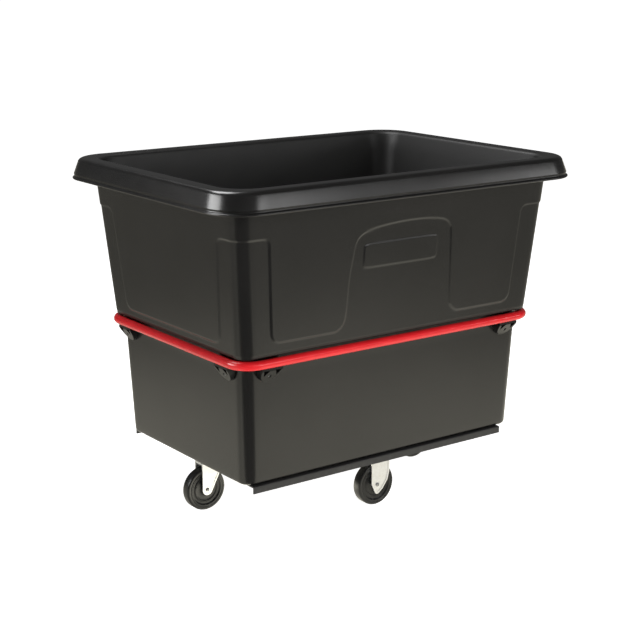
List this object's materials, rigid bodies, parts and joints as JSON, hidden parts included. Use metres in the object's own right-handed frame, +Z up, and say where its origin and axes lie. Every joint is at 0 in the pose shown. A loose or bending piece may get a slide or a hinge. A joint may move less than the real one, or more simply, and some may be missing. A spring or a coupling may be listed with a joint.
{
  "type": "bulk waste truck",
  "caption": "Tapered moulded plastic tub truck with a rolled rim, a round bumper tube under its mid-height step, and swivel and rigid casters in a diamond pattern.",
  "frame": {"origin": "on the ground, under the centre of the tub's rim", "axes": "+X along the tub's length towards the right end, +Y across it towards the rear side, +Z up"},
  "size_m": [1.22, 0.9, 0.985],
  "materials": {
    "tub_plastic": "satin moulded polyethylene",
    "clip_plastic": "satin moulded plastic",
    "red_paint": "gloss powder coat on steel tube",
    "frame_paint": "satin black paint on steel",
    "caster_zinc": "bright zinc plate",
    "fastener_zinc": "zinc plate",
    "ball_steel": "polished bearing steel",
    "seal_rubber": "matte rubber",
    "wheel_rubber": "satin hard rubber"
  },
  "bodies": {
    "cart": {"tub": "tub_plastic", "bumper_tube": "red_paint", "clip_front_left": "clip_plastic", "clip_front_right": "clip_plastic", "clip_rear_left": "clip_plastic", "clip_rear_right": "clip_plastic", "clip_left_front": "clip_plastic", "clip_left_rear": "clip_plastic", "clip_right_front": "clip_plastic", "clip_right_rear": "clip_plastic", "clip_screws": "fastener_zinc", "clip_washers": "fastener_zinc", "clip_nuts": "fastener_zinc", "frame_bolts": "fastener_zinc", "frame_washers": "fastener_zinc", "frame_inserts": "fastener_zinc", "caster_studs": "fastener_zinc", "caster_washers": "fastener_zinc", "caster_nuts": "fastener_zinc", "rail_front": "frame_paint", "rail_rear": "frame_paint", "end_plate_left": "frame_paint", "end_plate_right": "frame_paint", "centre_plate": "frame_paint", "caster_plate_left": "caster_zinc", "raceway_seal_left": "seal_rubber", "kingpin_left": "fastener_zinc", "kingpin_nut_left": "fastener_zinc", "swivel_balls_left": "ball_steel", "caster_plate_right": "caster_zinc", "raceway_seal_right": "seal_rubber", "kingpin_right": "fastener_zinc", "kingpin_nut_right": "fastener_zinc", "swivel_balls_right": "ball_steel", "fork_front": "caster_zinc", "axle_sleeve_front": "fastener_zinc", "axle_bolt_front": "fastener_zinc", "axle_nut_front": "fastener_zinc", "fork_rear": "caster_zinc", "axle_sleeve_rear": "fastener_zinc", "axle_bolt_rear": "fastener_zinc", "axle_nut_rear": "fastener_zinc"},
    "swivel_left": {"fork_left": "caster_zinc", "axle_sleeve_left": "fastener_zinc", "axle_bolt_left": "fastener_zinc", "axle_nut_left": "fastener_zinc"},
    "swivel_right": {"fork_right": "caster_zinc", "axle_sleeve_right": "fastener_zinc", "axle_bolt_right": "fastener_zinc", "axle_nut_right": "fastener_zinc"},
    "wheel_left": {"wheel_left": "wheel_rubber"},
    "wheel_right": {"wheel_right": "wheel_rubber"},
    "wheel_front": {"wheel_front": "wheel_rubber"},
    "wheel_rear": {"wheel_rear": "wheel_rubber"}
  },
  "joints": [
    {"name": "swivel_left_turn", "type": "hinge", "parent": "cart", "child": "swivel_left", "pos_m": [-0.3865, 0, 0.14], "axis": [0, 0, 1], "continuous": true},
    {"name": "swivel_right_turn", "type": "hinge", "parent": "cart", "child": "swivel_right", "pos_m": [0.3865, 0, 0.14], "axis": [0, 0, 1], "continuous": true},
    {"name": "wheel_left_spin", "type": "hinge", "parent": "swivel_left", "child": "wheel_left", "pos_m": [-0.418, 0, 0.0625], "axis": [0, 1, 0], "continuous": true},
    {"name": "wheel_right_spin", "type": "hinge", "parent": "swivel_right", "child": "wheel_right", "pos_m": [0.355, 0, 0.0625], "axis": [0, 1, 0], "continuous": true},
    {"name": "wheel_front_spin", "type": "hinge", "parent": "cart", "child": "wheel_front", "pos_m": [0, -0.254, 0.0625], "axis": [0, 1, 0], "continuous": true},
    {"name": "wheel_rear_spin", "type": "hinge", "parent": "cart", "child": "wheel_rear", "pos_m": [0, 0.254, 0.0625], "axis": [0, 1, 0], "continuous": true}
  ]
}
